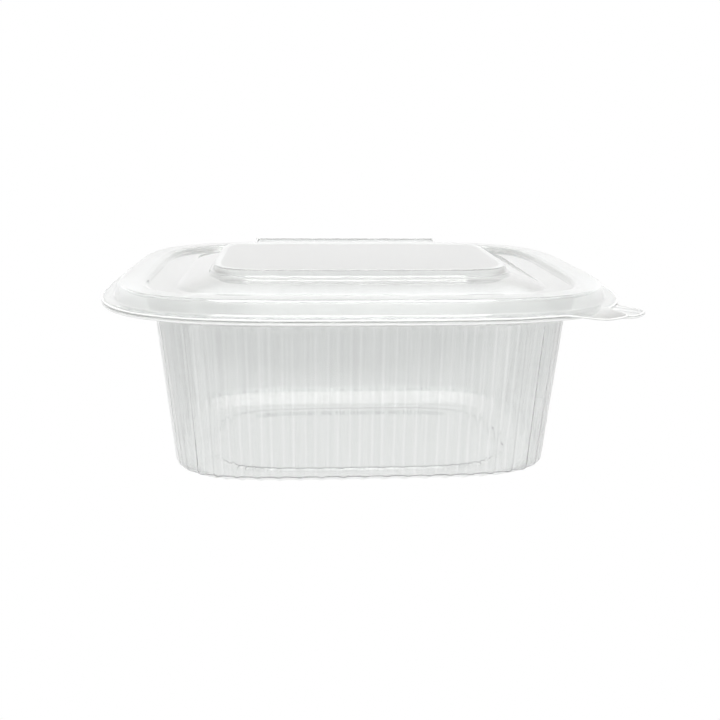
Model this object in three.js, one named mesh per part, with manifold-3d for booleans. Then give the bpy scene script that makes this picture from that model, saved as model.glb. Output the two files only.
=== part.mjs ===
// Takeaway meal container, empty and closed: a clear ribbed tray and a lid hinged to its back rim.
// Millimetres, +Z up, +X to the right, the closing tab at the front right corner (+X, -Y) and the hinge at +Y.
// Every wall is one formed sheet. A sheet is drawn as a row of rings round the part, from the middle of its upper
// face out to the rim and back along its lower face, so each solid is closed.
import * as THREE from 'three';
import * as BufferGeometryUtils from 'three/addons/utils/BufferGeometryUtils.js';
import Module from 'manifold-3d';

// Sheet and fit
const sheet = 0.5; // thickness of the formed plastic
const clearance = 0.3; // air between lid and tray
const nest = sheet + clearance; // from the lid's upper face to the tray's

// Plan outlines: half length, half width, and squareness, the power n in |x/a|^n + |y/b|^n = 1
const outlines = {
  flange: { halfLength: 93, halfWidth: 80, squareness: 3.5 },
  bead: { halfLength: 86.4, halfWidth: 73.4, squareness: 4 },
  channel: { halfLength: 76.6, halfWidth: 63.6, squareness: 5 },
  dome: { halfLength: 64, halfWidth: 52, squareness: 8 },
  lidPanel: { halfLength: 53.4, halfWidth: 40.4, squareness: 6 },
  wall: { halfLength: 75, halfWidth: 62, squareness: 4.6 },
  floorPanel: { halfLength: 54.5, halfWidth: 36, squareness: 4.5 },
};

// Heights of the lid's upper face
const panelHeight = 75.6;
const panelStepHeight = 74;
const panelFootHeight = 72.2;
const channelHeight = 69.5;
const beadHeight = 71.3;
const flangeHeight = 66.5;

// Lid profile, across the sheet
const panelRiser = 0.6; // plan width of each of the two risers round the panel
const panelStep = 0.8; // plan width of the step between them
const channelCorner = 1.5; // plan width of the rounds beside the channel
const beadEdge = 0.4; // drop of the bead's inner edge below its top
const domeEdge = 0.4; // rise of the dome's edge above the channel
const flangeWidth = 4.4;
const flangeDroop = 0.3; // how far the flange's edge hangs down

// Tray heights and profile
const wallTopHeight = 59.9;
const ribTopHeight = 57.5; // above it the ribs run out into the shoulder
const wallFootHeight = 5.6;
const wallDraft = 4.9; // how far the wall leans in, from its top to its foot
const footBevel = 10.5; // plan width of the bevel under the wall
const shoulderWidth = 1.5;
const shoulderHeight = 61.2;
const floorPanelRise = 1; // the floor panel stands this far above the ring that the tray rests on
const floorStepWidth = 1;

// Ribs round the tray's wall: narrow ridges with broad flutes between them
const ribCount = 64;
const ribDepth = 0.8;
const ribHalfShare = 0.27; // half of a ridge's foot, as a share of the pitch

// Closing tabs, rounded tongues at the front right corner, one on each flange
const tabReach = 11.5; // beyond the flange's outline
const tabRoot = 3; // inside it
const tabHalfWidth = 8.5;
const tabSquareness = 2.4;
const tabSegments = 28;
const lidTabAngle = -43.5; // degrees in plan, from +X
const trayTabAngle = -37;

// Hinge: one leaf on each flange, turned up behind the rim to meet at a fold
const hingeLength = 88;
const hingeRoot = 77.5; // where the leaves start, well inside the flange
const hingeBend = 84.9;
const hingeBack = 86.9; // middle of the tray's leaf at the fold
const hingeBendHeight = 67.4;
const hingeFoldHeight = 71.6;

const outlineSteps = 2880; // fine steps from which evenly spaced points are picked

// Finish
const lidColour = 0xf2f4f3;
const trayColour = 0xe4e9e7;
const plasticRoughness = 0.12;

const wasm = await Module();
wasm.setup();

// Point of an outline at a plan angle, by its polar formula
function outlinePoint({ halfLength, halfWidth, squareness }, angle) {
  const along = Math.abs(Math.cos(angle) / halfLength) ** squareness;
  const across = Math.abs(Math.sin(angle) / halfWidth) ** squareness;
  const reach = (along + across) ** (-1 / squareness);
  return new THREE.Vector2(Math.cos(angle), Math.sin(angle)).multiplyScalar(reach);
}

// Outward normal of an outline at one of its points, from the slope of its formula
function outlineNormal({ halfLength, halfWidth, squareness }, point) {
  const slope = (value, half) => Math.sign(value) * Math.abs(value / half) ** (squareness - 1) / half;
  return new THREE.Vector2(slope(point.x, halfLength), slope(point.y, halfWidth)).normalize();
}

// Points and normals of an outline at given shares of its length
function sampleOutline(outline, shares) {
  const fine = [];
  const lengths = [0];
  for (let step = 0; step <= outlineSteps; step++) {
    fine.push(outlinePoint(outline, (step / outlineSteps) * 2 * Math.PI));
    if (step > 0) lengths.push(lengths[step - 1] + fine[step].distanceTo(fine[step - 1]));
  }
  let step = 0;
  return shares.map((share) => {
    const target = share * lengths[outlineSteps];
    while (lengths[step + 1] < target) step++;
    const part = (target - lengths[step]) / (lengths[step + 1] - lengths[step]);
    const point = fine[step].clone().lerp(fine[step + 1], part);
    return { point, normal: outlineNormal(outline, point) };
  });
}

// A station is one ring of a sheet: an outline, how far inside it the ring lies, a height, and whether it carries
// the ribs. Its plan reach is measured across the middle of the front.
const station = (outline, inset, height, ribs = false) => ({ outline, inset, height, ribs });
const reachOf = ({ outline, inset }) => outlines[outline].halfWidth - inset;

// Moves a row of stations square to the sheet, to its lower side, by a distance
function offsetStations(stations, distance) {
  const flat = stations.map((s) => new THREE.Vector2(reachOf(s), s.height));
  const normals = flat.slice(1).map((end, i) => {
    const run = end.clone().sub(flat[i]).normalize();
    return new THREE.Vector2(run.y, -run.x);
  });
  return stations.map((s, i) => {
    const before = normals[Math.max(i - 1, 0)];
    const after = normals[Math.min(i, normals.length - 1)];
    const mitre = before.clone().add(after).normalize();
    const move = mitre.multiplyScalar(distance / mitre.dot(after));
    return { ...s, inset: s.inset - move.x, height: s.height + move.y };
  });
}

// Closed solid through rings of points, with a fan over the middle of the first and the last ring
function loftSolid(rings) {
  const count = rings[0].length;
  const middle = (ring) => new THREE.Vector3(0, 0, ring[0].z);
  const vertices = [middle(rings[0]), ...rings.flat(), middle(rings.at(-1))];
  const last = vertices.length - 1;
  const at = (ring, i) => 1 + ring * count + (i % count);
  const indices = [];
  for (let i = 0; i < count; i++) {
    indices.push(0, at(0, i), at(0, i + 1));
    indices.push(last, at(rings.length - 1, i + 1), at(rings.length - 1, i));
    for (let ring = 0; ring + 1 < rings.length; ring++) {
      indices.push(at(ring, i), at(ring + 1, i), at(ring + 1, i + 1));
      indices.push(at(ring, i), at(ring + 1, i + 1), at(ring, i + 1));
    }
  }
  const geometry = new THREE.BufferGeometry().setFromPoints(vertices);
  geometry.setIndex(indices);
  return toManifold(geometry);
}

// Ring of points at a station. A plain ring has one straight facet for each pitch of the ribs, on the tray and on
// the lid alike, so that their rims nest. A ribbed ring bulges along its normals by the wave, a share from 0 to 1.
function stationRing({ outline, inset, height, ribs }, { shares, wave }) {
  const place = ({ point, normal }, bulge) => {
    const outward = bulge * ribDepth - inset;
    return new THREE.Vector3(point.x + outward * normal.x, point.y + outward * normal.y, height);
  };
  const pitches = Array.from({ length: ribCount }, (_, rib) => rib);
  if (ribs) {
    const samples = sampleOutline(outlines[outline], pitches.flatMap((rib) => shares.map((s) => (rib + s) / ribCount)));
    return samples.map((sample, i) => place(sample, wave[i % wave.length]));
  }
  const corners = sampleOutline(outlines[outline], pitches.map((rib) => rib / ribCount)).map((s) => place(s, 0));
  return pitches.flatMap((rib) => shares.map((s) => corners[rib].clone().lerp(corners[(rib + 1) % ribCount], s)));
}

// Sheet of one thickness whose upper face runs through the stations
function formedSheet(stations, pattern) {
  const lower = offsetStations(stations, sheet).reverse();
  return loftSolid([...stations, ...lower].map((s) => stationRing(s, pattern)));
}

function toManifold(geometry) {
  const merged = geometry.clone();
  merged.deleteAttribute('normal');
  merged.deleteAttribute('uv');
  const clean = BufferGeometryUtils.mergeVertices(merged, 1e-4);
  const vertProperties = Float32Array.from(clean.attributes.position.array);
  const triVerts = Uint32Array.from(clean.index.array);
  return new wasm.Manifold(new wasm.Mesh({ numProp: 3, vertProperties, triVerts }));
}

function toMesh(solid, name, colour) {
  const { vertProperties, triVerts } = solid.getMesh();
  const geometry = new THREE.BufferGeometry();
  geometry.setAttribute('position', new THREE.BufferAttribute(vertProperties, 3));
  geometry.setIndex(new THREE.BufferAttribute(triVerts, 1));
  geometry.computeVertexNormals();
  const material = new THREE.MeshStandardMaterial({
    color: colour,
    roughness: plasticRoughness,
    metalness: 0,
    transparent: true,
    opacity: 0.35,
  });
  const mesh = new THREE.Mesh(geometry, material);
  mesh.name = name;
  return mesh;
}

// Upper face of the lid, from its panel out to the edge of its flange
const lidStations = [
  station('lidPanel', 0, panelHeight),
  station('lidPanel', -panelRiser, panelStepHeight),
  station('lidPanel', -panelRiser - panelStep, panelStepHeight),
  station('lidPanel', -panelRiser - panelStep - panelRiser, panelFootHeight),
  station('dome', 0, channelHeight + domeEdge),
  station('dome', -channelCorner, channelHeight),
  station('channel', channelCorner / 2, channelHeight),
  station('channel', 0, beadHeight - beadEdge),
  station('channel', -channelCorner, beadHeight),
  station('bead', 0, beadHeight),
  station('flange', flangeWidth, flangeHeight),
  station('flange', 0, flangeHeight - flangeDroop),
];

// The tray's rim nests under the lid's bead, skirt and flange, one sheet and the clearance below them
const firstNested = 7;
const trayRim = offsetStations(lidStations, nest).slice(firstNested);

// Upper face of the tray. The wall outline is the outer face of its ridges, so the sheet lies inside it.
const wallSkin = sheet + ribDepth;
const trayStations = [
  station('floorPanel', 0, sheet + floorPanelRise),
  station('floorPanel', -floorStepWidth, sheet),
  station('wall', wallSkin + wallDraft + footBevel, sheet, true),
  station('wall', wallSkin + wallDraft, wallFootHeight, true),
  station('wall', wallSkin, ribTopHeight, true),
  station('wall', wallSkin, wallTopHeight),
  station('wall', sheet - shoulderWidth, shoulderHeight),
  ...trayRim,
];

// Points in each pitch, as shares of it, and the height of the rib at each: a ridge and its two feet on the tray
const ribbed = { shares: [0, ribHalfShare, 1 - ribHalfShare], wave: [1, 0, 0] };
const plain = { shares: [0], wave: [0] };

// Rounded tongue in the plane of a flange, centred on the flange's outline at a plan angle
function closingTab(degrees, topHeight) {
  const angle = THREE.MathUtils.degToRad(degrees);
  const tongue = { halfLength: tabReach, halfWidth: tabHalfWidth, squareness: tabSquareness };
  const rounds = Array.from({ length: tabSegments }, (_, i) => (i / tabSegments) * 2 * Math.PI);
  const outline = rounds.map((round) => outlinePoint(tongue, round));
  for (const point of outline) {
    if (point.x < 0) point.x *= tabRoot / tabReach;
  }
  const shape = new THREE.Shape(outline);
  const geometry = new THREE.ExtrudeGeometry(shape, { depth: sheet, bevelEnabled: false });
  const corner = outlinePoint(outlines.flange, angle);
  geometry.rotateZ(angle);
  geometry.translate(corner.x, corner.y, topHeight - sheet);
  return toManifold(geometry);
}

// Points at a distance to the left of a path in the plane of Y and Z
function besidePath(path, distance) {
  const sides = path.slice(1).map((end, i) => {
    const run = end.clone().sub(path[i]).normalize();
    return new THREE.Vector2(-run.y, run.x);
  });
  return path.map((point, i) => {
    const before = sides[Math.max(i - 1, 0)];
    const after = sides[Math.min(i, sides.length - 1)];
    const mitre = before.clone().add(after).normalize();
    return point.clone().addScaledVector(mitre, distance / mitre.dot(after));
  });
}

// Leaf of the hinge: a strip of sheet centred on a path in the plane of Y and Z, extruded along X
function hingeLeaf(path) {
  const outline = [...besidePath(path, -sheet / 2), ...besidePath(path, sheet / 2).reverse()];
  const depth = hingeLength;
  const geometry = new THREE.ExtrudeGeometry(new THREE.Shape(outline), { depth, bevelEnabled: false });
  const [alongY, alongZ, alongX] = [
    new THREE.Vector3(0, 1, 0),
    new THREE.Vector3(0, 0, 1),
    new THREE.Vector3(1, 0, 0),
  ];
  geometry.applyMatrix4(new THREE.Matrix4().makeBasis(alongY, alongZ, alongX));
  geometry.translate(-hingeLength / 2, 0, 0);
  return toManifold(geometry);
}

const trayFlangeTop = flangeHeight - nest;
const trayLeafPath = [
  new THREE.Vector2(hingeRoot, trayFlangeTop - sheet / 2),
  new THREE.Vector2(hingeBend, trayFlangeTop - sheet / 2),
  new THREE.Vector2(hingeBack, hingeBendHeight),
  new THREE.Vector2(hingeBack, hingeFoldHeight),
];
const lidLeafPath = besidePath(trayLeafPath, nest);

// The flange droops at its edge, so the tabs and leaves lie a little lower than its root
const edgeDroop = flangeDroop / 2;
const tray = formedSheet(trayStations, ribbed)
  .add(closingTab(trayTabAngle, trayFlangeTop - edgeDroop))
  .add(hingeLeaf(trayLeafPath).translate([0, 0, -edgeDroop]));
const lid = formedSheet(lidStations, plain)
  .add(closingTab(lidTabAngle, flangeHeight - edgeDroop))
  .add(hingeLeaf(lidLeafPath).translate([0, 0, -edgeDroop]));

// The origin is under the middle of the whole outline, hinge included
const backReach = hingeBack + sheet / 2;
const container = new THREE.Group();
container.position.y = (outlines.flange.halfWidth - backReach) / 2;
container.add(toMesh(tray, 'tray', trayColour));
container.add(toMesh(lid, 'lid', lidColour));

export default container;
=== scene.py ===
"""Takeaway meal container of clear plastic: a ribbed tray and a hinged lid, on a white light table."""

from math import pi, radians

import bpy
import numpy as np
from mathutils import Matrix, Vector


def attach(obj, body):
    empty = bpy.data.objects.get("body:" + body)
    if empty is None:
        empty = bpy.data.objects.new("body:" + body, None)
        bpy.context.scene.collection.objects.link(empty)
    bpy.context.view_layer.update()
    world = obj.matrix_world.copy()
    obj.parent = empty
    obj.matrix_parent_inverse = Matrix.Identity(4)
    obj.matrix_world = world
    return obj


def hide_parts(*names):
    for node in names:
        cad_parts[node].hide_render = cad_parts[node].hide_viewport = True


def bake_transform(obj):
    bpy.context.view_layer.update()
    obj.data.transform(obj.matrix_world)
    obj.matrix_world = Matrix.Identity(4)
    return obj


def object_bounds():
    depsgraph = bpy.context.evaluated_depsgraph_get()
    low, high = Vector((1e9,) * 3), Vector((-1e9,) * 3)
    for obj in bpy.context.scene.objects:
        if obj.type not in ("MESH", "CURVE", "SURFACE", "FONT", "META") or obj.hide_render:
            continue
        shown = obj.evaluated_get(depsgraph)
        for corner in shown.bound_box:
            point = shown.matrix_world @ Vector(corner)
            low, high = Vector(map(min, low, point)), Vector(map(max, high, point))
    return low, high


bl_info = {
    "name": "Takeaway Meal Container",
    "version": (1, 0, 0),
    "blender": (4, 5, 0),
    "location": "View3D > Sidebar > Container",
    "description": "Builds a clear ribbed takeaway container and its hinged lid around a packed frame",
    "category": "Object",
}

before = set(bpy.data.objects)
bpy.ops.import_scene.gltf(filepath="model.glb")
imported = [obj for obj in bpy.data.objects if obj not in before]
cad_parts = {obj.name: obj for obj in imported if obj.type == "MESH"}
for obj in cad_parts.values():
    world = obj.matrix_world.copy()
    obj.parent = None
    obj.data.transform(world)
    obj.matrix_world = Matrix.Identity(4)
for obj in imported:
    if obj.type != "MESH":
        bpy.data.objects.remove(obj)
CAD_LOW, CAD_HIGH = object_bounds()
MM = 0.001

# The plan outlines are centred on the lid, which lies a little in front of the frame's origin, because the
# frame's box takes in the hinge at the back
HALF_LENGTH = CAD_HIGH.x
HALF_WIDTH = 80 * MM
MIDDLE_Y = CAD_LOW.y + HALF_WIDTH
TOP = CAD_HIGH.z

# Most outlines are longer than wide by this much on each side of the middle
LONGER = HALF_LENGTH - HALF_WIDTH

# How square each plan outline is, the n of outline_points
LID_PANEL_SQUARENESS = 6
DOME_SQUARENESS = 8
CHANNEL_SQUARENESS = 5
BEAD_SQUARENESS = 4
FLANGE_SQUARENESS = 3.5
WALL_SQUARENESS = 4.6
FLOOR_PANEL_SQUARENESS = 4.5

RIBS = 64
LID_COLUMNS = 640

# Steps round an outline from which evenly spaced points are picked
FINE_STEPS = 7200

# The most that a rounded corner takes of the gap on each side, so that two of them never meet
MOST_OF_GAP = 0.49

# The point attribute with each point's share of painted shade; under 0 it is a painted highlight
PAINTED_SHADE_ATTRIBUTE = "painted_shade"


def length(name, description, millimetres):
    """A length setting, given in millimetres and kept in metres."""
    return bpy.props.FloatProperty(
        name=name, description=description, default=millimetres * MM, unit="LENGTH", precision=5
    )


def number(name, description, default):
    """A plain number setting."""
    return bpy.props.FloatProperty(name=name, description=description, default=default, precision=4)


def colour(name, description, default):
    """A colour setting."""
    return bpy.props.FloatVectorProperty(
        name=name, description=description, default=default, subtype="COLOR", min=0, max=1
    )


class SheetSettings(bpy.types.PropertyGroup):
    """Sizes that the tray and the lid share."""

    thickness: length("Sheet", "Thickness of the formed plastic", 0.5)
    nest: length("Nest", "From the lid's upper face down to the tray's", 0.8)
    flange_height: length("Flange height", "Upper face of the lid's flange", 66.5)
    flange_width: length("Flange width", "Flat rim outside the skirt", 4.4)
    flange_droop: length("Flange droop", "How far the flange's edge hangs down", 0.3)
    bead_height: length("Bead height", "Top of the lid's raised bead", 71.3)
    tab_reach: length("Tab reach", "How far a closing tab stands out past the flange", 11.5)
    tab_half_angle: number("Tab half angle", "Half width of a tab, in degrees round the middle", 4.6)
    hinge_half_length: length("Hinge half length", "Half of the hinge along the back", 44)
    hinge_back: length("Hinge back", "Middle of the tray's leaf, from the middle of the lid", 86.9)
    hinge_bend_height: length("Hinge bend height", "Where the leaves turn upright", 67.0)
    hinge_fold_height: length("Hinge fold height", "Top of the leaves", 71.2)


class LidSettings(bpy.types.PropertyGroup):
    """Sizes of the lid."""

    panel_width: length("Panel half width", "Half of the raised panel across", 40.4)
    riser: length("Riser", "Plan width of each of the two risers round the panel", 0.6)
    step: length("Step", "Plan width of the step between the risers", 0.8)
    step_height: length("Step height", "Height of the step", 73.5)
    foot_height: length("Foot height", "Height at the foot of the risers", 72.2)
    dome_width: length("Dome half width", "Half of the low dome across", 52)
    dome_longer: length("Dome longer", "How much longer than wide the dome is on each side", 12)
    dome_height: length("Dome height", "Edge of the low dome", 69.9)
    channel_height: length("Channel height", "Floor of the channel inside the bead", 69.5)
    channel_width: length("Channel half width", "Half width to the bead's inner edge", 63.6)
    bead_width: length("Bead half width", "Half width to the bead's outer edge", 73.4)
    tab_angle: number("Tab angle", "Plan direction of the lid's tab in degrees", -43.5)


class TraySettings(bpy.types.PropertyGroup):
    """Sizes of the tray."""

    wall_width: length("Wall half width", "Half width over the ribs at the top of the wall", 62)
    wall_top: length("Wall top", "Top of the wall, under the shoulder", 59.9)
    rib_top: length("Rib top", "Where the ribs start to run out", 57.5)
    wall_foot: length("Wall foot", "Foot of the wall, above the bevel", 5.6)
    draft: length("Draft", "How far the wall leans in", 4.9)
    bevel: length("Bevel", "Plan width of the bevel under the wall", 10.5)
    shoulder: length("Shoulder", "Plan width of the shoulder", 1.5)
    shoulder_height: length("Shoulder height", "Top of the shoulder", 61.2)
    panel_length: length("Floor panel half length", "Half of the floor panel along", 54.5)
    panel_width: length("Floor panel half width", "Half of the floor panel across", 36.6)
    panel_rise: length("Floor panel rise", "Height of the floor panel over the standing ring", 0.8)
    rib_depth: length("Rib depth", "Height of the ridges over the flutes", 0.8)
    rib_width: number("Rib width", "Half width of a ridge's foot, as a share of the pitch", 0.27)
    tab_angle: number("Tab angle", "Plan direction of the tray's tab in degrees", -37)


class FinishSettings(bpy.types.PropertyGroup):
    """Colours of the plastic, the tints of its painted shade and painted highlight lines, and the stage."""

    lid_tint: colour("Lid tint", "Plastic of the lid", (0.83, 0.84, 0.832))
    # Darker tint of the lid's painted shade; shares under 0 move away from it into painted highlights
    panel_shade_tint: colour("Panel tint", "Plastic of the lid's panel and dome", (0.51, 0.51, 0.495))
    rim_tint: colour("Rim tint", "Plastic of the tray's rim and floor", (0.97, 0.975, 0.97))
    # Darker tint of the painted shade on the tray's ribbed wall
    wall_shade_tint: colour("Wall tint", "Plastic of the tray's ribbed wall", (0.79, 0.8, 0.795))
    # Tint of the painted highlight lines at the ridges' feet, and of the faint streaks
    highlight_and_streak_tint: colour("Line tint", "Plastic along the foot of each ridge", (0.95, 0.96, 0.955))
    edge_tint: colour("Edge tint", "Cut edges of both sheets", (0.9, 0.905, 0.895))
    stage_white: colour("Stage", "Colour of the floor and backdrop", (1.0, 1.0, 1.0))


# Plan outlines


def outline_points(half_length, half_width, squareness, angles):
    """Points of |x/a|^n + |y/b|^n = 1 at plan angles t: they lie at (|cos t/a|^n + |sin t/b|^n)^(-1/n)
    along (cos t, sin t)."""
    cos = np.cos(angles)
    sin = np.sin(angles)
    powers = np.abs(cos / half_length) ** squareness + np.abs(sin / half_width) ** squareness
    reach = powers ** (-1 / squareness)
    return np.stack([reach * cos, reach * sin], axis=-1)


def outline_normals(half_length, half_width, squareness, points):
    """Outward unit normals, along (sign x |x/a|^(n-1)/a, sign y |y/b|^(n-1)/b)."""
    halves = np.array([half_length, half_width])
    slope = np.sign(points) * np.abs(points / halves) ** (squareness - 1) / halves
    return slope / np.linalg.norm(slope, axis=-1, keepdims=True)


def spread_outline(shape, shares, straight=None):
    """Points and normals at shares of an outline's length, read off its running length at fine steps. With
    straight, the points are those of a longer outline whose quarter is given: they keep its spacing for the
    given lengths on either side of the middles of the ends and the sides, and close up in the corners."""
    fine = outline_points(*shape, np.linspace(0, 2 * pi, FINE_STEPS + 1))
    run = np.concatenate([[0], np.cumsum(np.linalg.norm(np.diff(fine, axis=0), axis=1))])
    wanted = shares * run[-1]
    if straight:
        end, side, wide_quarter = straight
        quarter = run[-1] / 4
        place, turn = np.modf(shares * 4)
        # Every other quarter runs from a side's middle to an end's
        flip = turn % 2 == 1
        place = np.where(flip, 1 - place, place) * wide_quarter
        wide_places = [0, end, wide_quarter - side, wide_quarter]
        place = np.interp(place, wide_places, [0, end, quarter - side, quarter])
        wanted = (turn + np.where(flip, 1 - place / quarter, place / quarter)) * quarter
    points = np.stack([np.interp(wanted, run, fine[:, i]) for i in range(2)], axis=-1)
    return points, outline_normals(*shape, points)


def quarter_length(shape):
    """A quarter of an outline's length."""
    fine = outline_points(*shape, np.linspace(0, pi / 2, FINE_STEPS // 4))
    return np.linalg.norm(np.diff(fine, axis=0), axis=1).sum()


def channel_outline(lid):
    """The outline between the lid's channel and its bead. The tray's is the same."""
    return (lid.channel_width + LONGER, lid.channel_width, CHANNEL_SQUARENESS)


def bead_outline(lid):
    """The outer outline of the lid's bead. The tray's is the same."""
    return (lid.bead_width + LONGER, lid.bead_width, BEAD_SQUARENESS)


def smooth_step(x):
    """3x^2 - 2x^3, held at 0 and 1."""
    x = np.clip(x, 0, 1)
    return x * x * (3 - 2 * x)


def rise(value, low, width):
    """Goes smoothly from 0 where a value is low to 1 where it is a width more."""
    return smooth_step((value - low) / width)


# Formed sheets


class Rings:
    """Control rings of a sheet's upper face, from its middle to its edge, with a corner width at each. A
    ring's columns are x, y, z and its share of painted shade, which darkens the plastic towards the ribbed
    wall's tint on the tray and the panel's tint on the lid. On the lid a share under 0 is a painted
    highlight, lighter than the plain plastic."""

    def __init__(self, shares):
        self.shares = shares
        self.rings = []
        self.corners = []

    def add(self, shape, inset, height, corner=0.0, bulge=0.0, painted_shade=0.0, straight=None):
        """Adds a ring: the outline moved inwards along its normals by inset less bulge, at a height."""
        points, normals = spread_outline(shape, self.shares, straight)
        move = np.broadcast_to(np.asarray(inset - bulge, float), len(points))
        plan = points - normals * move[:, None]
        plan[:, 1] += MIDDLE_Y
        levels = [np.broadcast_to(value, len(plan)) for value in (height, painted_shade)]
        self.put(np.column_stack([plan, *levels]), corner)

    def add_middle(self, shape, height, painted_shade=0.0):
        """Adds the two innermost rings, which are small copies of a panel's outline."""
        for part in (0.02, 0.5):
            self.add((shape[0] * part, shape[1] * part, shape[2]), 0, height, painted_shade=painted_shade)

    def put(self, ring, corner):
        """Adds a ring that is already worked out."""
        self.rings.append(ring)
        self.corners.append(corner)

    def surface(self, corner_steps, longest):
        """A grid of points over the rings. Between two rings the sheet runs straight, in steps no longer
        than the longest. At a ring with a corner width c it follows (1-t)^2 A + 2t(1-t) V + t^2 B, where V
        is the ring and A and B lie c before and after it."""
        rings = np.array(self.rings)
        gaps = np.linalg.norm(np.diff(rings[..., :3], axis=0), axis=2).mean(axis=1)
        rows = [rings[0]]

        def run_straight(end):
            start = rows[-1]
            steps = max(1, int(np.ceil(np.linalg.norm((end - start)[:, :3], axis=1).mean() / longest)))
            rows.extend(start + (end - start) * t for t in np.linspace(0, 1, steps + 1)[1:])

        for i in range(1, len(rings) - 1):
            corner = min(self.corners[i], MOST_OF_GAP * gaps[i - 1], MOST_OF_GAP * gaps[i])
            if corner <= 0:
                run_straight(rings[i])
                continue
            before = rings[i] + (rings[i - 1] - rings[i]) * (corner / gaps[i - 1])
            after = rings[i] + (rings[i + 1] - rings[i]) * (corner / gaps[i])
            run_straight(before)
            for t in np.linspace(0, 1, corner_steps + 1)[1:]:
                rows.append((1 - t) ** 2 * before + 2 * t * (1 - t) * rings[i] + t**2 * after)
        run_straight(rings[-1])
        return np.array(rows)


def unit(vectors):
    """The vectors at unit length."""
    smallest = 1e-12
    return vectors / np.maximum(np.linalg.norm(vectors, axis=-1, keepdims=True), smallest)


def grid_normals(grid):
    """Unit normals of a closed grid: the slope round it crossed with the slope across it."""
    across = np.gradient(grid, axis=0)
    around = np.roll(grid, -1, axis=1) - np.roll(grid, 1, axis=1)
    return unit(np.cross(across, around))


def point_normals(rows):
    """Normals of a shell's points and of its two hubs: the unit sums of the area vectors of the faces round
    each point, so that flats stay flat up to their edges."""
    turned = np.roll(rows, -1, axis=1)
    area = np.cross(turned[1:] - rows[:-1], turned[:-1] - rows[1:])
    facing = np.zeros_like(rows)
    for part in (area, np.roll(area, 1, axis=1)):
        facing[:-1] += part
        facing[1:] += part
    return np.concatenate([unit(facing).reshape(-1, 3), unit(facing[[0, -1]].mean(axis=1))])


def smooth_mesh(name, points, faces):
    """A mesh that is shaded smooth."""
    mesh = bpy.data.meshes.new(name)
    mesh.from_pydata(points, [], faces)
    mesh.polygons.foreach_set("use_smooth", np.ones(len(mesh.polygons), dtype=bool))
    mesh.update()
    return mesh


def add_rib_map(mesh, rows, edge_row, shares):
    """Adds a shell's UV map: u counts ribs, and v counts the same lengths from the middle of the sheet to
    its edge on each face. The fans over the middles have v at 0."""
    count, around = rows.shape[:2]
    run = np.concatenate([[0], np.cumsum(np.linalg.norm(np.diff(rows, axis=0), axis=2).mean(axis=1))])
    reach = np.minimum(run, run[-1] - run)
    pitch = np.linalg.norm(np.diff(edge_row, axis=0), axis=1).sum() / RIBS
    v = np.repeat(reach[:, None] / pitch, around, axis=1)
    u = np.repeat((shares * RIBS)[None], count - 1, axis=0)
    u_after = np.column_stack([u[:, 1:], np.full(count - 1, RIBS)])
    corners = ((u, v[:-1]), (u, v[1:]), (u_after, v[1:]), (u_after, v[:-1]))
    quad_uv = np.stack([np.stack(corner, axis=-1) for corner in corners], axis=2)
    fan_uv = np.zeros((2, around, 3, 2))
    fan_uv[0, :, :, 0] = np.stack([u[0], u[0], u_after[0]], axis=-1)
    fan_uv[1, :, :, 0] = np.stack([u[0], u_after[0], u[0]], axis=-1)
    layer = mesh.uv_layers.new(name="ribs")
    layer.data.foreach_set("uv", np.concatenate([quad_uv.ravel(), fan_uv.ravel()]))


def shell_mesh(name, surface, shares, thickness):
    """Closed sheet: the upper face, the lower face one thickness along the normals under it, a half round
    strip round the edge, and a fan over the middle of each face. It has the ribs' UV map and the share of
    painted shade at each point."""
    upper, painted_shade = surface[..., :3], surface[..., 3]
    normals = grid_normals(upper)
    lower = upper - normals * thickness
    outward = unit(upper[-1] - upper[-2])
    turns = np.radians([55, 20, -20, -55])[:, None, None]
    middle = (upper[-1] + lower[-1]) / 2
    edge = middle + thickness / 2 * (np.sin(turns) * normals[-1] + np.cos(turns) * outward)
    rows = np.concatenate([upper, edge, lower[::-1]])
    rows[..., 1] = np.clip(rows[..., 1], CAD_LOW.y, CAD_HIGH.y)
    painted_shade = np.concatenate([painted_shade, np.repeat(painted_shade[-1:], len(edge), axis=0), painted_shade[::-1]])

    count, around = rows.shape[:2]
    points = np.concatenate([rows.reshape(-1, 3), rows[[0, -1]].mean(axis=1)])
    start = np.arange(around)
    after = (start + 1) % around
    base = np.arange(count - 1)[:, None] * around
    quads = np.stack([base + start, base + around + start, base + around + after, base + after], axis=-1)
    hub = np.full(around, count * around)
    last = (count - 1) * around
    fans = np.stack([[hub, start, after], [hub + 1, last + after, last + start]]).transpose(0, 2, 1)
    mesh = smooth_mesh(name, points, quads.reshape(-1, 4).tolist() + fans.reshape(-1, 3).tolist())

    add_rib_map(mesh, rows, upper[-1], shares)
    attribute = mesh.attributes.new(PAINTED_SHADE_ATTRIBUTE, "FLOAT", "POINT")
    attribute.data.foreach_set("value", np.append(painted_shade.ravel(), [painted_shade[0, 0]] * 2))
    mesh.update()
    mesh.normals_split_custom_set_from_vertices(point_normals(rows))
    return mesh


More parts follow.
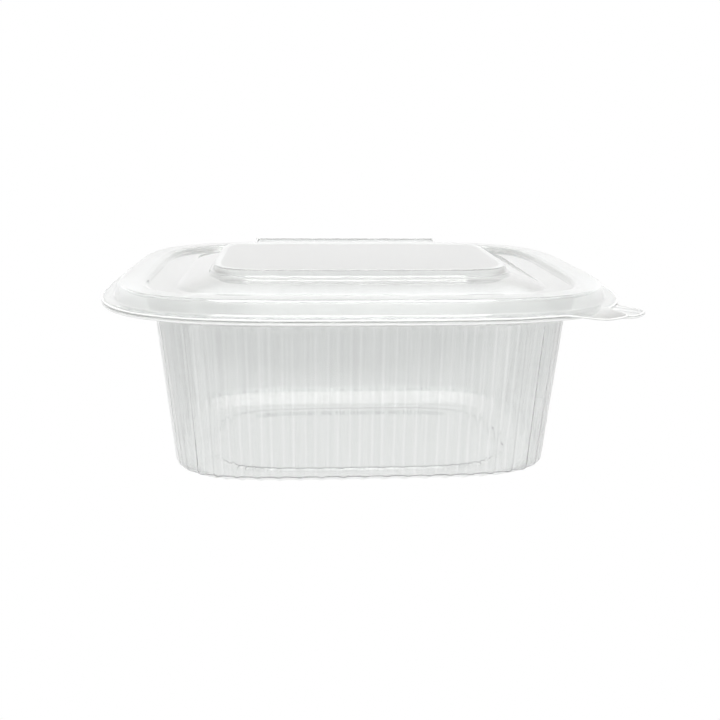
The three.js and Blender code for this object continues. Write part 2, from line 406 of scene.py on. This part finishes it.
def edge_mesh(name, surface, thickness, height, hang=0.0):
    """The cut edge of a sheet as a closed bead of a height round it, its middle hanging under the sheet's:
    half round outside, and flat where it laps over the sheet."""
    upper = surface[..., :3]
    up = grid_normals(upper)[-1]
    out = unit(upper[-1] - upper[-2])
    middle = upper[-1] - up * (thickness / 2 + hang)
    reach = height / 2
    shift = thickness / 2 - reach
    lap = 0.9 * thickness
    turns = np.radians([90, 60, 30, 0, -30, -60, -90])
    section = [(shift + reach * np.cos(t), reach * np.sin(t)) for t in turns]
    section += [(-lap, -reach), (-lap, reach)]
    points = np.stack([middle + out * along + up * above for along, above in section], axis=1)
    points[..., 1] = np.clip(points[..., 1], CAD_LOW.y, CAD_HIGH.y)
    around, count = points.shape[:2]
    start = np.arange(around)[:, None] * count
    after = np.roll(start, -1)
    step = np.arange(count)
    following = np.roll(step, -1)
    faces = np.stack([start + step, start + following, after + following, after + step], axis=-1)
    return smooth_mesh(name, points.reshape(-1, 3), faces.reshape(-1, 4).tolist())


def place(name, mesh, body, slot, material, *nodes):
    """Puts a mesh in the scene as a piece that rides on a body and stands for CAD nodes. A piece with no
    body is left unattached."""
    piece = bpy.data.objects.new(name, mesh)
    bpy.context.scene.collection.objects.link(piece)
    mesh.materials.append(material)
    if body:
        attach(piece, body)
    if nodes:
        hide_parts(*nodes)
    return piece


# Finishes


class Finish:
    """A material, with short calls that add nodes and link them."""

    def __init__(self, name):
        self.material = bpy.data.materials.new(name)
        self.material.use_nodes = True
        self.tree = self.material.node_tree
        self.shader = self.tree.nodes["Principled BSDF"]

    def feed(self, socket, value):
        """Links an output to a socket, or sets the socket's value."""
        if isinstance(value, bpy.types.NodeSocket):
            self.tree.links.new(value, socket)
        else:
            socket.default_value = value

    def node(self, kind, inputs, **settings):
        """Adds a node with its inputs, by name or number, and its settings."""
        node = self.tree.nodes.new("ShaderNode" + kind)
        for key, value in settings.items():
            setattr(node, key, value)
        for key, value in inputs.items():
            self.feed(node.inputs[key], value)
        return node

    def math(self, operation, *values):
        """A sum on numbers or outputs."""
        return self.node("Math", dict(enumerate(values)), operation=operation).outputs[0]

    def span(self, value, low, high, at_low, at_high):
        """Carries a value smoothly from at_low at low to at_high at high."""
        limits = {"Value": value, "From Min": low, "From Max": high, "To Min": at_low, "To Max": at_high}
        return self.node("MapRange", limits, interpolation_type="SMOOTHSTEP").outputs["Result"]

    def noise(self, where, scale, detail):
        """Soft cloudy noise around 0.5."""
        return self.node("TexNoise", {"Vector": where, "Scale": scale, "Detail": detail}).outputs["Fac"]

    def share_of_painted_shade(self):
        """The share of painted shade that a shell's points carry; under 0 it is a painted highlight."""
        return self.node("Attribute", {}, attribute_name=PAINTED_SHADE_ATTRIBUTE).outputs["Fac"]

    def mix(self, share, first, second, **settings):
        """A colour between two."""
        inputs = {0: share, 6: first, 7: second}
        return self.node("Mix", inputs, data_type="RGBA", **settings).outputs[2]

    def bump(self, height, distance, under=None):
        """Tilts the surface as a height would, on top of another tilt."""
        inputs = {"Height": height, "Strength": 1.0, "Distance": distance}
        if under is not None:
            inputs["Normal"] = under
        return self.node("Bump", inputs).outputs["Normal"]

    def clear(self, tint, clearness, roughness, bending, normal=None):
        """Ends a finish as clear plastic that bends light, with a little haze left in it."""
        values = {
            "Base Color": tint,
            "Transmission Weight": clearness,
            "Roughness": roughness,
            "IOR": bending,
            "Coat Weight": 1.0,
            "Coat Roughness": 0.05,
            "Coat IOR": 1.6,
        }
        if normal is not None:
            values["Normal"] = normal
        return self.end(values)

    def end(self, values):
        """Gives the shader its values and returns the material."""
        for key, value in values.items():
            self.feed(self.shader.inputs[key], value)
        return self.material


def lid_finish(finish):
    """Clear plastic with painted shade on the panel, dome and bead and painted highlight lines where the
    share is under 0, with a milky haze and the soft waves of a sheet that was drawn while hot."""
    made = Finish("Milky clear plastic")
    where = made.node("TexCoord", {}).outputs["Object"]
    waves = made.bump(made.noise(where, scale=30.0, detail=2.0), distance=0.00012)
    haze = made.span(made.noise(where, scale=55.0, detail=3.0), low=0.3, high=0.7, at_low=0.0, at_high=1.0)
    tint = made.mix(
        made.share_of_painted_shade(), (*finish.lid_tint, 1), (*finish.panel_shade_tint, 1), clamp_factor=False
    )
    left_by_haze = 0.97
    hazy = made.mix(left_by_haze, (0, 0, 0, 1), tint)
    return made.clear(made.mix(haze, tint, hazy), clearness=0.8, roughness=0.06, bending=1.25, normal=waves)


def tray_finish(finish, rib_width):
    """Clear plastic with painted shade on the ribbed wall, where it has a painted highlight line along the
    foot of each ridge and faint streaks from top to bottom. A ridge's foot is where the distance from the
    middle of the rib is rib_width. Where the share of painted shade passes 1, the middle of each ridge gets
    a painted highlight too."""
    line_width = 0.11
    streak_stretch = (3.1, 0.12, 1)
    most_highlight_line = 0.35
    most_streak = 0.2
    made = Finish("Clear ribbed plastic")
    coordinates = made.node("TexCoord", {})
    where = coordinates.outputs["Object"]
    map_place = coordinates.outputs["UV"]
    painted_shade = made.share_of_painted_shade()
    phase = made.math("FRACT", made.math("ADD", made.node("SeparateXYZ", {0: map_place}).outputs["X"], 0.5))
    off_middle = made.math("ABSOLUTE", made.math("SUBTRACT", phase, 0.5))
    off_foot = made.math("ABSOLUTE", made.math("SUBTRACT", off_middle, rib_width))
    # Painted highlight line along the foot of each ridge
    line = made.span(off_foot, low=0.0, high=line_width, at_low=1.0, at_high=0.0)
    # Painted highlight on the middle of each ridge, used where the share passes 1
    ridge = made.span(off_middle, low=0.08, high=0.2, at_low=1.0, at_high=0.0)
    stretched = made.node("VectorMath", {0: map_place, 1: streak_stretch}, operation="MULTIPLY")
    streak = made.noise(stretched.outputs["Vector"], scale=1.0, detail=2.0)

    # The light share mixes the painted highlight lines, the faint streaks and the ridge highlights towards
    # the highlight tint
    highlight_line_strength = made.math("MINIMUM", made.math("MULTIPLY", painted_shade, most_highlight_line), 1.0)
    streak_strength = made.span(streak, low=0.35, high=0.75, at_low=0.0, at_high=most_streak)
    light = made.math("ADD", made.math("MULTIPLY", line, highlight_line_strength), streak_strength)
    past_one = made.math("MAXIMUM", made.math("SUBTRACT", painted_shade, 1.0), 0.0)
    light = made.math("ADD", light, made.math("MULTIPLY", past_one, ridge))
    wall = made.mix(light, (*finish.wall_shade_tint, 1), (*finish.highlight_and_streak_tint, 1))
    share = made.math("MAXIMUM", painted_shade, 0.0)
    # Plain rim plastic, darkened towards the wall's tint by the share of painted shade
    tint = made.mix(share, (*finish.rim_tint, 1), wall, clamp_factor=False)

    groove_strength = made.math("MINIMUM", made.math("MULTIPLY", painted_shade, 4.0), 1.0)
    waves = made.bump(made.noise(where, scale=40.0, detail=2.0), distance=0.00003)
    grooved = made.bump(made.math("MULTIPLY", line, groove_strength), distance=0.00004, under=waves)
    drawn = made.bump(made.math("MULTIPLY", streak, painted_shade), distance=0.00001, under=grooved)
    return made.clear(tint, clearness=0.91, roughness=0.06, bending=1.25, normal=drawn)


def edge_finish(finish):
    """The cut edge of the sheet, which is frosted and catches the light."""
    made = Finish("Frosted cut edge")
    return made.clear((*finish.edge_tint, 1), clearness=0.3, roughness=0.35, bending=1.5)


def light_table(name, tint, middle, behind):
    """A white light table, which shows no shadow. Its brightness is 1, but for one patch round its middle
    and one behind that."""
    fully_lit_share = 0.6
    made = Finish(name)
    where = made.node("TexCoord", {}).outputs["Object"]

    def patch(centre, shape, reach, brightness):
        off = made.node("VectorMath", {0: where, 1: centre}, operation="SUBTRACT").outputs["Vector"]
        off = made.node("VectorMath", {0: off, 1: shape}, operation="MULTIPLY").outputs["Vector"]
        off = made.node("VectorMath", {0: off}, operation="LENGTH").outputs["Value"]
        return made.span(off, fully_lit_share * reach, reach, brightness, 1.0)

    middle_patch = patch(centre=(0, 0, 0), shape=(0.8, 1, 1), reach=0.1, brightness=middle)
    patch_behind = patch(centre=(0, 0.2, 0), shape=(1, 0.9, 1), reach=0.12, brightness=behind)
    values = {
        "Base Color": (0, 0, 0, 1),
        "Specular IOR Level": 0.0,
        "Emission Color": (*tint, 1),
        "Emission Strength": made.math("MULTIPLY", middle_patch, patch_behind),
    }
    return made.end(values)


# Shapes


def hinge_share(points, half_length):
    """1 on the stretch of rim that the hinge takes, 0 elsewhere, with a short smooth step at its ends."""
    fade = 2.2 * MM
    inside = smooth_step((half_length - np.abs(points[:, 0])) / fade)
    return np.where(points[:, 1] > MIDDLE_Y, inside, 0.0)


def tab_share(points, degrees, half_angle):
    """A tongue's share round its plan angle: exp(-|d/w|^4), d the angle off its middle and w its half
    width."""
    angle = np.degrees(np.arctan2(points[:, 1] - MIDDLE_Y, points[:, 0]))
    return np.exp(-np.abs((angle - degrees) / half_angle) ** 4)


def add_rim(rings, sheet, drop, skirt_gap, tab_angle, leaf_back):
    """The rings outside the skirt, drop below the lid's: the flange with its closing tab, and the hinge's
    leaf, which runs out behind the flange, bends and stands upright with its middle at leaf_back. The tab
    carries painted shade, and the lid's leaf a painted highlight."""
    skirt_corner = 0.6 * MM
    bend_corner = 1.0 * MM
    bend_inset = 0.5 * MM
    bend_drop = 0.6 * MM
    tab_painted_shade = 1.5
    leaf_painted_light = 0.8
    flange = (HALF_LENGTH, HALF_WIDTH, FLANGE_SQUARENESS)
    height = sheet.flange_height - drop
    rings.add(flange, sheet.flange_width + skirt_gap, height, skirt_corner)
    points, normals = spread_outline(flange, rings.shares)
    points = points - normals * (sheet.thickness / 2)
    points[:, 1] += MIDDLE_Y
    tab = tab_share(points, tab_angle, sheet.tab_half_angle)[:, None]
    hinge = hinge_share(points, sheet.hinge_half_length)
    reach = sheet.tab_reach - sheet.thickness / 2
    droop = np.full(len(points), height - sheet.flange_droop)
    # Painted shade on the tab and a painted highlight on the lid's leaf; the tray drops shares under 0
    painted_shade = tab_painted_shade * tab - leaf_painted_light * hinge[:, None]
    edge = np.column_stack([points + normals * tab * reach, droop, painted_shade])
    flat = np.full(len(points), height)
    inside = np.column_stack([points - normals * MM, flat, np.zeros(len(points))])
    bend = edge.copy()
    bend[:, :2] -= normals * bend_inset * (1 - hinge[:, None])
    inner_face = MIDDLE_Y + leaf_back - sheet.thickness / 2
    bend[:, 1] += (inner_face - bend[:, 1]) * hinge
    bend[:, 2] += (sheet.hinge_bend_height - drop - bend_drop - bend[:, 2]) * hinge
    edge[:, 1] += (inner_face - edge[:, 1]) * hinge
    edge[:, 2] += (sheet.hinge_fold_height - edge[:, 2]) * hinge
    rings.put(inside, 0)
    rings.put(bend, bend_corner)
    rings.put(edge, 0)


class BuildLid(bpy.types.Operator):
    """Builds the lid: a raised panel with a stepped riser, a low dome, the channel, the bead, the skirt and
    the flange, with its closing tab and its leaf of the hinge"""

    bl_idname = "container.build_lid"
    bl_label = "Build the lid"

    def execute(self, context):
        scene = context.scene
        sheet, lid = scene.container_sheet, scene.container_lid
        panel = (lid.panel_width + LONGER, lid.panel_width, LID_PANEL_SQUARENESS)
        dome = (lid.dome_width + lid.dome_longer, lid.dome_width, DOME_SQUARENESS)
        channel = channel_outline(lid)
        bead = bead_outline(lid)
        rings = Rings(np.linspace(0, 1, LID_COLUMNS, endpoint=False))

        # Shares round the outlines, from 0 to 1 by the way each point faces, which set where painted shade
        # and painted highlights lie
        facing_x, facing_y = spread_outline(panel, rings.shares)[1].T
        back = smooth_step(facing_y)
        ends = rise(np.abs(facing_x), 0.3, 0.5)
        dome_facing = spread_outline(dome, rings.shares)[1][:, 1]
        not_front = 1 - smooth_step(-5 * dome_facing - 4)
        bead_facing = spread_outline(bead, rings.shares)[1][:, 1]
        behind = smooth_step(0.5 + 1.5 * bead_facing)
        front_corner_light = smooth_step(1.6 - 1.6 * np.abs(bead_facing)) * (1 - behind)

        # The panel carries painted shade up to a painted highlight line, which lies farther in at the back
        painted_shade_inset = (2.6 + 8 * back) * MM
        highlight_line_inset = (2 + 7 * back) * MM
        step_slope = 0.1 * MM
        dome_edge = 1.5 * MM
        channel_edge = 0.75 * MM
        bead_edge = 1.5 * MM
        bead_round = 0.4 * MM
        step_foot = lid.step_height - step_slope
        rings.add_middle(panel, TOP, painted_shade=1)
        rings.add(panel, painted_shade_inset, TOP, painted_shade=1)
        rings.add(panel, highlight_line_inset, TOP, painted_shade=-0.3)
        rings.add(panel, 0, TOP, corner=0.7 * MM)
        # Painted shade: a dark line on the step at the panel's ends, and at the foot of the risers
        rings.add(panel, -lid.riser, lid.step_height, corner=0.3 * MM, painted_shade=0.8 * ends)
        rings.add(panel, -lid.riser - lid.step, step_foot, corner=0.3 * MM)
        rings.add(panel, -2 * lid.riser - lid.step, lid.foot_height, corner=1.0 * MM, painted_shade=0.5)
        # Painted shade on the dome and channel except at the front, with painted highlight lines round the
        # dome's edge at the front
        rings.add(dome, 0, lid.dome_height, corner=0.8 * MM, painted_shade=0.8 * not_front - 0.2)
        rings.add(dome, -dome_edge, lid.channel_height, corner=0.6 * MM, painted_shade=0.9 * not_front - 0.5)
        rings.add(channel, channel_edge, lid.channel_height, corner=0.5 * MM, painted_shade=0.4 * not_front)
        rings.add(channel, 0, sheet.bead_height - bead_round, corner=0.4 * MM)
        rings.add(channel, -bead_edge, sheet.bead_height, corner=0.8 * MM)
        # Painted shade on the bead behind and painted light at its front corners
        rings.add(bead, 0, sheet.bead_height, corner=1.2 * MM, painted_shade=0.5 * behind - 0.5 * front_corner_light)
        add_rim(rings, sheet, 0, 0, lid.tab_angle, sheet.hinge_back - sheet.nest)
        surface = rings.surface(corner_steps=4, longest=8 * MM)
        mesh = shell_mesh("lid_shell", surface, rings.shares, sheet.thickness)
        material = lid_finish(scene.container_finish)
        place("lid_shell", mesh, "lid", "lid_plastic", material, "lid")
        edge = edge_mesh("lid_edge", surface, sheet.thickness, height=0.55 * MM)
        place("lid_edge", edge, "lid", "lid_plastic", edge_finish(scene.container_finish))
        return {"FINISHED"}


class BuildTray(bpy.types.Operator):
    """Builds the tray: floor panel, standing ring, bevel, ribbed wall, shoulder, bead, skirt and flange,
    with its closing tab and its leaf of the hinge"""

    bl_idname = "container.build_tray"
    bl_label = "Build the tray"

    def execute(self, context):
        scene = context.scene
        sheet, lid, tray = scene.container_sheet, scene.container_lid, scene.container_tray
        panel = (tray.panel_length, tray.panel_width, FLOOR_PANEL_SQUARENESS)
        wall = (tray.wall_width + LONGER, tray.wall_width, WALL_SQUARENESS)
        channel = channel_outline(lid)
        bead = bead_outline(lid)

        # Points stand closer together over the ridge in each pitch
        in_pitch = np.array([0, 0.07, 0.14, 0.21, 0.27, 0.5, 0.73, 0.79, 0.86, 0.93])
        shares = ((np.arange(RIBS)[:, None] + in_pitch) / RIBS).ravel()
        off_ridge = np.minimum(in_pitch, 1 - in_pitch) / tray.rib_width
        ridges = np.tile(0.5 + 0.5 * np.cos(pi * np.clip(off_ridge, 0, 1)), RIBS) * tray.rib_depth

        # Shares round the outlines, by the way each point faces: ridges and the wall's painted shade fade in
        # the corners
        sideways = np.abs(spread_outline(wall, shares)[1][:, 1])
        along_side = rise(sideways, 0.6, 0.35)
        wall_painted_shade = 0.3 + 0.7 * rise(sideways, 0.25, 0.6)
        ridges = ridges * (0.3 + 0.7 * along_side)
        calm_ridges = ridges * (0.4 + 0.6 * along_side)
        low_ridges = 0.9 * ridges

        # The floor panel's points keep the wall's spacing along the middles of its ends and sides
        straight = (20 * MM, 36 * MM, quarter_length(wall))
        facing = spread_outline(panel, shares, straight)[1][:, 1]
        back = smooth_step(facing)
        # Painted dark dashes of shade along the middles of the floor panel's front and back step, stronger
        # at the back
        painted_dashes = (1 + back) * rise(np.abs(facing), 0.9, 0.08)
        front_painted_dashes = painted_dashes * (1 - back)
        panel_slope = (1 + 2.5 * smooth_step(1 - 1.4 * np.abs(facing))) * MM
        slope_foot = 0.5 * MM

        floor = sheet.thickness
        raised = floor + tray.panel_rise
        rings = Rings(shares)
        rings.add_middle(panel, raised)
        # Each ring of the painted dashes of shade: its inset in millimetres, how much more that is at the
        # back, and its share of painted shade
        painted_dash_rings = ((1.1, 9, 0), (0.9, 8.5, painted_dashes), (0.7, 4.5, painted_dashes), (0.5, 4, front_painted_dashes))
        for inset, more_behind, painted_shade in painted_dash_rings:
            rings.add(panel, (inset + more_behind * back) * MM, raised, painted_shade=painted_shade, straight=straight)
        rings.add(panel, 0, raised, 0.4 * MM, low_ridges, front_painted_dashes, straight)
        rings.add(panel, -panel_slope, floor, 0.4 * MM, low_ridges, 0.5 * front_painted_dashes, straight)
        rings.add(panel, -panel_slope - slope_foot, floor, 0, low_ridges, 0, straight)

        wall_foot_inset = sheet.thickness + tray.rib_depth + tray.draft
        wall_top_inset = sheet.thickness + tray.rib_depth
        foot_inset = wall_foot_inset + tray.bevel
        foot_round = 0.8 * MM
        foot_rise = 0.3 * MM
        rings.add(wall, foot_inset, floor, 0.8 * MM, ridges)
        # A touch of painted shade where the standing ring rounds up
        rings.add(wall, foot_inset - foot_round, floor + foot_rise, 0.8 * MM, ridges, 0.1)
        # Two rings up the bevel: the share of its height, and the painted shade as a share of the wall's,
        # which paints a dark band under the wall's foot; over 1 it also paints highlights on the ridges
        for up_bevel, painted_shade_share in ((0.7, 0.2), (0.78, 2.1)):
            height = floor + up_bevel * (tray.wall_foot - floor)
            inset = wall_foot_inset + (1 - up_bevel) * tray.bevel
            rings.add(wall, inset, height, 0, ridges, painted_shade_share * wall_painted_shade)
        # The ribbed wall carries painted shade, a little less at its top
        rings.add(wall, wall_foot_inset, tray.wall_foot, 0.7 * MM, calm_ridges, wall_painted_shade)
        rings.add(wall, wall_top_inset, tray.rib_top, 0, calm_ridges, wall_painted_shade)
        rings.add(wall, wall_top_inset, tray.wall_top, 0.6 * MM, 0, 0.8 * wall_painted_shade)
        rings.add(wall, sheet.thickness - tray.shoulder, tray.shoulder_height, 0.6 * MM)

        top = sheet.bead_height - sheet.nest
        bead_round = 0.5 * MM
        bead_start = 0.7 * MM
        bead_edge = 1.6 * MM
        skirt_top = 0.6 * MM
        rings.add(channel, -bead_start, top - bead_round, 0.4 * MM)
        rings.add(channel, -bead_edge, top, 0.5 * MM)
        rings.add(bead, skirt_top, top, 1.2 * MM)
        skirt_gap = 0.45 * MM
        add_rim(rings, sheet, sheet.nest, skirt_gap, tray.tab_angle, sheet.hinge_back)
        surface = rings.surface(corner_steps=3, longest=9 * MM)
        mesh = shell_mesh("tray_shell", surface, shares, sheet.thickness)
        material = tray_finish(scene.container_finish, tray.rib_width)
        place("tray_shell", mesh, "tray", "tray_plastic", material, "tray")
        edge = edge_mesh("tray_edge", surface, sheet.thickness, height=1.15 * MM, hang=0.22 * MM)
        place("tray_edge", edge, "tray", "tray_plastic", edge_finish(scene.container_finish))
        return {"FINISHED"}


class BuildHingeFold(bpy.types.Operator):
    """Builds the thin fold that joins the tops of the two hinge leaves"""

    bl_idname = "container.build_hinge_fold"
    bl_label = "Build the hinge's fold"

    def execute(self, context):
        sheet = context.scene.container_sheet
        fold_at = sheet.hinge_fold_height
        near, far = (MIDDLE_Y + sheet.hinge_back - gap for gap in (sheet.nest, 0))
        past_leaves = 0.3 * MM
        short_of_ends = 1.2 * MM
        end_fade = 2 * MM
        lost_at_ends = 0.8
        height_share = 0.7
        turns = np.linspace(0, pi, 17)
        half = sheet.hinge_half_length - short_of_ends
        xs = np.linspace(-half, half, 45)
        reach = (far - near) / 2 + past_leaves
        section_y = np.minimum((near + far) / 2 + reach * np.cos(turns), CAD_HIGH.y)
        section_z = fold_at + height_share * reach * np.sin(turns)
        section = np.stack([section_y, section_z], axis=-1)
        around = len(section)
        points = np.concatenate([np.column_stack([np.full(around, x), section]) for x in xs])
        taper = rise(half - np.abs(xs), 0, end_fade)
        points[:, 2] -= np.repeat(1 - taper, around) * (points[:, 2] - fold_at) * lost_at_ends
        start = np.arange(around)
        after = (start + 1) % around
        base = np.arange(len(xs) - 1)[:, None] * around
        faces = np.stack([base + start, base + after, base + around + after, base + around + start], axis=-1)
        caps = [start[::-1].tolist(), (start + (len(xs) - 1) * around).tolist()]
        mesh = smooth_mesh("hinge_fold", points, faces.reshape(-1, 4).tolist() + caps)
        fold = place("hinge_fold", mesh, None, "lid_plastic", bpy.data.materials["Frosted cut edge"])
        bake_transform(fold)
        return {"FINISHED"}


# Stage


def add_ground(name, height, material):
    """A wide flat ground of the stage."""
    half = 20.0
    mesh = bpy.data.meshes.new(name)
    corners = [(-half, -half, height), (half, -half, height), (half, half, height), (-half, half, height)]
    mesh.from_pydata(corners, [], [(0, 1, 2, 3)])
    mesh.materials.append(material)
    ground = bpy.data.objects.new(name, mesh)
    bpy.context.scene.collection.objects.link(ground)
    return ground


def white_room(name, lower, front, band):
    """A white room over the table, darker below the horizon. Its front side is brighter, but for a band
    over the horizon."""
    world = bpy.data.worlds.new(name)
    world.use_nodes = True
    tree = world.node_tree

    def shade(value, low, high, at_low, at_high):
        node = tree.nodes.new("ShaderNodeMapRange")
        for key, limit in zip(("From Min", "From Max", "To Max"), (low, high, at_high)):
            node.inputs[key].default_value = limit
        if isinstance(at_low, bpy.types.NodeSocket):
            tree.links.new(at_low, node.inputs["To Min"])
        else:
            node.inputs["To Min"].default_value = at_low
        tree.links.new(value, node.inputs["Value"])
        return node.outputs["Result"]

    where = tree.nodes.new("ShaderNodeTexCoord")
    split = tree.nodes.new("ShaderNodeSeparateXYZ")
    tree.links.new(where.outputs["Generated"], split.inputs[0])
    upwards = split.outputs["Z"]
    backwards = split.outputs["Y"]
    below_horizon = shade(upwards, low=-0.2, high=-0.02, at_low=lower, at_high=1.0)
    band_foot = shade(upwards, low=0.0, high=0.12, at_low=front, at_high=band)
    band_top = shade(upwards, low=0.47, high=0.6, at_low=band_foot, at_high=front)
    strength = shade(backwards, low=-0.5, high=0.3, at_low=band_top, at_high=1.0)
    background = tree.nodes["Background"]
    tree.links.new(below_horizon, background.inputs["Color"])
    tree.links.new(strength, background.inputs["Strength"])
    return world


def add_light(name, place_at, target, size, radiance):
    """A rectangular soft light turned towards a point. Its power is pi times its area times its
    radiance."""
    data = bpy.data.lights.new(name, "AREA")
    data.shape = "RECTANGLE"
    data.size, data.size_y = size
    data.energy = pi * size[0] * size[1] * radiance
    light = bpy.data.objects.new(name, data)
    bpy.context.scene.collection.objects.link(light)
    turn = (Vector(target) - Vector(place_at)).to_track_quat("-Z", "Y")
    light.matrix_world = Matrix.Translation(place_at) @ turn.to_matrix().to_4x4()


def add_camera():
    """The camera of the photo: in front, a little left and above, turned right and down."""
    sensor = 36.0
    photo_pixels = 720
    focus_pixels = 906.92
    data = bpy.data.cameras.new("camera")
    data.sensor_width = sensor
    data.lens = focus_pixels / photo_pixels * sensor
    data.clip_start = 0.01
    camera = bpy.data.objects.new("camera", data)
    place_at = (-22.8 * MM, -352.4 * MM + MIDDLE_Y, 124.37 * MM)
    pitch, yaw, roll = radians(14.53), radians(3.97), radians(0.55)
    camera.matrix_world = (
        Matrix.Translation(place_at)
        @ Matrix.Rotation(-yaw, 4, "Z")
        @ Matrix.Rotation(pi / 2 - pitch, 4, "X")
        @ Matrix.Rotation(roll, 4, "Z")
    )
    bpy.context.scene.collection.objects.link(camera)
    bpy.context.scene.camera = camera


class BuildStage(bpy.types.Operator):
    """Builds the white table, the room, the soft light and the camera"""

    bl_idname = "container.build_stage"
    bl_label = "Build the stage"

    def execute(self, context):
        scene = context.scene
        white = scene.container_finish.stage_white
        unlit = light_table("White backdrop", white, middle=1, behind=1)
        lit = light_table("Lit table", white, middle=1.05, behind=0.88)
        backdrop = add_ground("backdrop", height=-0.02 * MM, material=unlit)
        table = add_ground("table", height=-0.01 * MM, material=lit)
        # The camera sees the plain backdrop, what shines through the plastic is the table over it, and what
        # the plastic mirrors is the room
        for view in ("diffuse", "glossy", "transmission"):
            setattr(backdrop, "visible_" + view, False)
        table.visible_camera = False
        table.visible_glossy = False
        scene.world = white_room("White room", lower=0.9, front=2.0, band=1.15)
        add_light("top_softbox", place_at=(0, -0.1, 0.9), target=(0, 0, 0.05), size=(0.6, 0.35), radiance=7)
        add_camera()
        scene.view_settings.view_transform = "Standard"
        scene.cycles.max_bounces = 40
        scene.cycles.transmission_bounces = 40
        scene.cycles.glossy_bounces = 16
        scene.cycles.transparent_max_bounces = 40
        return {"FINISHED"}


class ContainerPanel(bpy.types.Panel):
    """Lists the steps that build the container"""

    bl_idname = "VIEW3D_PT_container"
    bl_label = "Takeaway container"
    bl_space_type = "VIEW_3D"
    bl_region_type = "UI"
    bl_category = "Container"

    def draw(self, context):
        for step in STEPS:
            self.layout.operator(step.bl_idname)


SETTINGS = {
    "container_sheet": SheetSettings,
    "container_lid": LidSettings,
    "container_tray": TraySettings,
    "container_finish": FinishSettings,
}
STEPS = (BuildTray, BuildLid, BuildHingeFold, BuildStage)


def register():
    """Registers the settings, the steps and the panel."""
    for key, group in SETTINGS.items():
        bpy.utils.register_class(group)
        setattr(bpy.types.Scene, key, bpy.props.PointerProperty(type=group))
    for cls in (*STEPS, ContainerPanel):
        bpy.utils.register_class(cls)


def unregister():
    """Takes them out again, the last one first."""
    for cls in reversed((*STEPS, ContainerPanel)):
        bpy.utils.unregister_class(cls)
    for key, group in reversed(SETTINGS.items()):
        delattr(bpy.types.Scene, key)
        bpy.utils.unregister_class(group)


def main():
    """Registers the classes and builds everything in order."""
    register()
    bpy.ops.container.build_tray()
    bpy.ops.container.build_lid()
    bpy.ops.container.build_hinge_fold()
    bpy.ops.container.build_stage()


if __name__ == "__main__":
    main()
